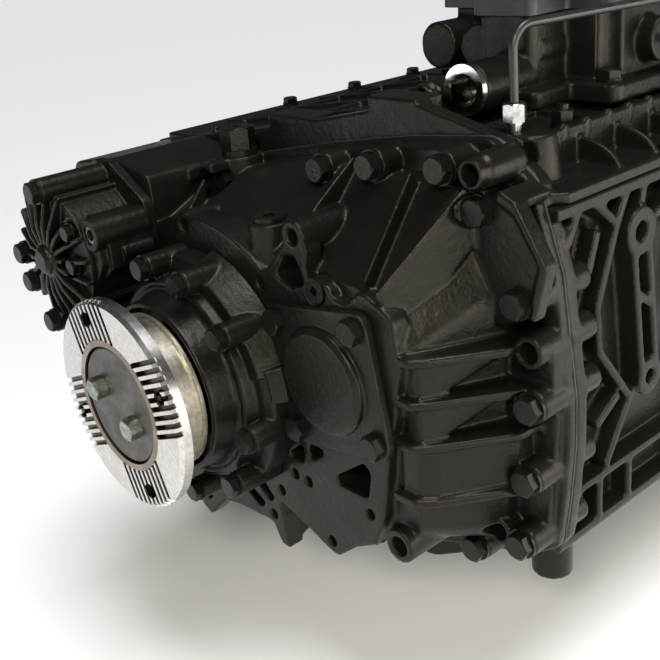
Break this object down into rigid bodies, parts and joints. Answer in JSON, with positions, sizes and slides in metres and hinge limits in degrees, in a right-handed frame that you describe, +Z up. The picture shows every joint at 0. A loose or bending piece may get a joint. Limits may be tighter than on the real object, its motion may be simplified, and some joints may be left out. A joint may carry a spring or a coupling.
{
  "type": "vehicle transmission",
  "caption": "Heavy truck transmission with a bell housing, ribbed cast main housing, rear range housing, toothed output flange and a control unit on top.",
  "frame": {"origin": "centre of the output flange's toothed face", "axes": "+Y along the shafts towards the engine, +X to the right seen from behind the vehicle's output end, +Z up"},
  "size_m": [0.629, 0.9143, 0.58],
  "materials": {
    "housing_black": "satin black paint over cast aluminium",
    "bolt_black": "satin black paint",
    "flange_steel": "machined steel with light brown stains",
    "shield_zinc": "dull yellowish zinc sheet",
    "lock_grey": "grey phosphated steel",
    "bolt_zinc": "zinc plated steel",
    "gear_steel": "ground and oiled steel",
    "bearing_steel": "ground steel",
    "seal_rubber": "oiled rubber",
    "gasket_grey": "fibre sheet",
    "unit_plastic": "black plastic",
    "ring_chrome": "bright plated steel",
    "fitting_silver": "bright zinc plated steel",
    "pipe_black": "black plastic"
  },
  "bodies": {
    "housing": {"output_seal": "seal_rubber", "output_cover": "housing_black", "rear_cover_bolts": "bolt_black", "output_bearing": "bearing_steel", "range_cylinder": "housing_black", "range_cylinder_bolts": "bolt_black", "range_valve_block": "housing_black", "valve_port_fitting": "fitting_silver", "rear_housing": "housing_black", "countershaft_cover": "housing_black", "housing_bolts": "bolt_black", "rear_joint_gasket": "gasket_grey", "socket_plugs": "bolt_black", "hexagon_plugs": "bolt_black", "main_housing": "housing_black", "upper_housing": "housing_black", "bell_housing": "housing_black", "reverse_idler_pin": "gear_steel", "shaft_bearings": "bearing_steel", "input_cover": "housing_black", "input_cover_bolts": "bolt_black", "release_fork_pivot": "bolt_black", "clutch_cylinder": "housing_black", "control_unit_base": "housing_black", "control_unit_cover": "unit_plastic", "control_unit_ring": "ring_chrome", "control_unit_bolts": "bolt_black", "air_fitting": "fitting_silver", "air_pipe": "pipe_black"},
    "output": {"output_flange": "flange_steel", "flange_lock_plate": "lock_grey", "flange_lock_bolts": "bolt_zinc", "dust_shield": "shield_zinc", "output_shaft": "gear_steel", "planet_pins": "gear_steel"},
    "main_line": {"main_shaft": "gear_steel"},
    "input_line": {"input_shaft": "gear_steel", "low_split_gear": "gear_steel"},
    "counter_line": {"countershaft": "gear_steel"},
    "reverse_gear": {"reverse_gear": "gear_steel"},
    "reverse_idler": {"reverse_idler_gear": "gear_steel"},
    "first_gear": {"first_gear": "gear_steel"},
    "second_gear": {"second_gear": "gear_steel"},
    "high_split_gear": {"high_split_gear": "gear_steel"},
    "low_sleeve": {"shift_sleeve_low": "gear_steel"},
    "high_sleeve": {"shift_sleeve_high": "gear_steel"},
    "split_sleeve": {"shift_sleeve_split": "gear_steel"},
    "low_fork": {"shift_fork_low": "gear_steel"},
    "high_fork": {"shift_fork_high": "gear_steel"},
    "split_fork": {"shift_fork_split": "gear_steel"},
    "range_shift": {"ring_gear": "gear_steel", "range_fork": "gear_steel", "range_piston": "gear_steel"},
    "release_bearing": {"release_bearing": "bearing_steel"},
    "release_fork": {"release_fork": "bolt_black"},
    "release_rod": {"clutch_push_rod": "fitting_silver"},
    "planet_1": {"planet_gear_1": "gear_steel"},
    "planet_2": {"planet_gear_2": "gear_steel"},
    "planet_3": {"planet_gear_3": "gear_steel"},
    "planet_4": {"planet_gear_4": "gear_steel"}
  },
  "joints": [
    {"name": "output_spin", "type": "hinge", "parent": "housing", "child": "output", "pos_m": [0, 0, 0], "axis": [0, 1, 0], "continuous": true},
    {"name": "main_spin", "type": "hinge", "parent": "housing", "child": "main_line", "pos_m": [0, 0, 0], "axis": [0, 1, 0], "continuous": true},
    {"name": "counter_spin", "type": "hinge", "parent": "housing", "child": "counter_line", "pos_m": [0.15828, 0, 0.03451], "axis": [0, 1, 0], "continuous": true},
    {"name": "input_spin", "type": "hinge", "parent": "housing", "child": "input_line", "pos_m": [0, 0, 0], "axis": [0, 1, 0], "continuous": true},
    {"name": "reverse_gear_spin", "type": "hinge", "parent": "housing", "child": "reverse_gear", "pos_m": [0, 0, 0], "axis": [0, 1, 0], "continuous": true},
    {"name": "reverse_idler_spin", "type": "hinge", "parent": "housing", "child": "reverse_idler", "pos_m": [0.12565, 0, -0.04936], "axis": [0, 1, 0], "continuous": true},
    {"name": "first_gear_spin", "type": "hinge", "parent": "housing", "child": "first_gear", "pos_m": [0, 0, 0], "axis": [0, 1, 0], "continuous": true},
    {"name": "second_gear_spin", "type": "hinge", "parent": "housing", "child": "second_gear", "pos_m": [0, 0, 0], "axis": [0, 1, 0], "continuous": true},
    {"name": "high_split_gear_spin", "type": "hinge", "parent": "housing", "child": "high_split_gear", "pos_m": [0, 0, 0], "axis": [0, 1, 0], "continuous": true},
    {"name": "planet_1_spin", "type": "hinge", "parent": "output", "child": "planet_1", "pos_m": [0, 0, 0.0672], "axis": [0, 1, 0], "continuous": true},
    {"name": "planet_2_spin", "type": "hinge", "parent": "output", "child": "planet_2", "pos_m": [-0.0672, 0, 0], "axis": [0, 1, 0], "continuous": true},
    {"name": "planet_3_spin", "type": "hinge", "parent": "output", "child": "planet_3", "pos_m": [0, 0, -0.0672], "axis": [0, 1, 0], "continuous": true},
    {"name": "planet_4_spin", "type": "hinge", "parent": "output", "child": "planet_4", "pos_m": [0.0672, 0, 0], "axis": [0, 1, 0], "continuous": true},
    {"name": "low_sleeve_slide", "type": "slide", "parent": "main_line", "child": "low_sleeve", "axis": [0, 1, 0], "range_m": [-0.008, 0.008]},
    {"name": "high_sleeve_slide", "type": "slide", "parent": "main_line", "child": "high_sleeve", "axis": [0, 1, 0], "range_m": [-0.008, 0.008]},
    {"name": "split_sleeve_slide", "type": "slide", "parent": "input_line", "child": "split_sleeve", "axis": [0, 1, 0], "range_m": [-0.008, 0.008]},
    {"name": "low_fork_slide", "type": "slide", "parent": "housing", "child": "low_fork", "axis": [0, 1, 0], "range_m": [-0.008, 0.008]},
    {"name": "high_fork_slide", "type": "slide", "parent": "housing", "child": "high_fork", "axis": [0, 1, 0], "range_m": [-0.008, 0.008]},
    {"name": "split_fork_slide", "type": "slide", "parent": "housing", "child": "split_fork", "axis": [0, 1, 0], "range_m": [-0.008, 0.008]},
    {"name": "range_slide", "type": "slide", "parent": "housing", "child": "range_shift", "axis": [0, 1, 0], "range_m": [0, 0.014]},
    {"name": "release_fork_swing", "type": "hinge", "parent": "housing", "child": "release_fork", "pos_m": [-0.104, 0.699, 0], "axis": [0, 0, 1], "range_deg": [-6.6, 0]},
    {"name": "release_bearing_slide", "type": "slide", "parent": "housing", "child": "release_bearing", "axis": [0, 1, 0], "range_m": [-0.0122, 0]},
    {"name": "release_rod_slide", "type": "slide", "parent": "housing", "child": "release_rod", "axis": [0, 1, 0], "range_m": [0, 0.0214]}
  ],
  "couplings": [
    {"joint": "input_spin", "follows": "counter_spin", "ratio": -1.5714},
    {"joint": "high_split_gear_spin", "follows": "counter_spin", "ratio": -1.25},
    {"joint": "second_gear_spin", "follows": "counter_spin", "ratio": -0.89474},
    {"joint": "first_gear_spin", "follows": "counter_spin", "ratio": -0.5},
    {"joint": "reverse_idler_spin", "follows": "counter_spin", "ratio": -1},
    {"joint": "reverse_gear_spin", "follows": "counter_spin", "ratio": 0.5},
    {"joint": "main_spin", "follows": "output_spin", "ratio": 3.7333},
    {"joint": "planet_1_spin", "follows": "output_spin", "ratio": -3.1538},
    {"joint": "planet_2_spin", "follows": "output_spin", "ratio": -3.1538},
    {"joint": "planet_3_spin", "follows": "output_spin", "ratio": -3.1538},
    {"joint": "planet_4_spin", "follows": "output_spin", "ratio": -3.1538},
    {"joint": "low_fork_slide", "follows": "low_sleeve_slide", "ratio": 1},
    {"joint": "high_fork_slide", "follows": "high_sleeve_slide", "ratio": 1},
    {"joint": "split_fork_slide", "follows": "split_sleeve_slide", "ratio": 1},
    {"joint": "release_bearing_slide", "follows": "release_fork_swing", "m_per_rad": 0.104},
    {"joint": "release_rod_slide", "follows": "release_fork_swing", "m_per_rad": -0.184}
  ]
}
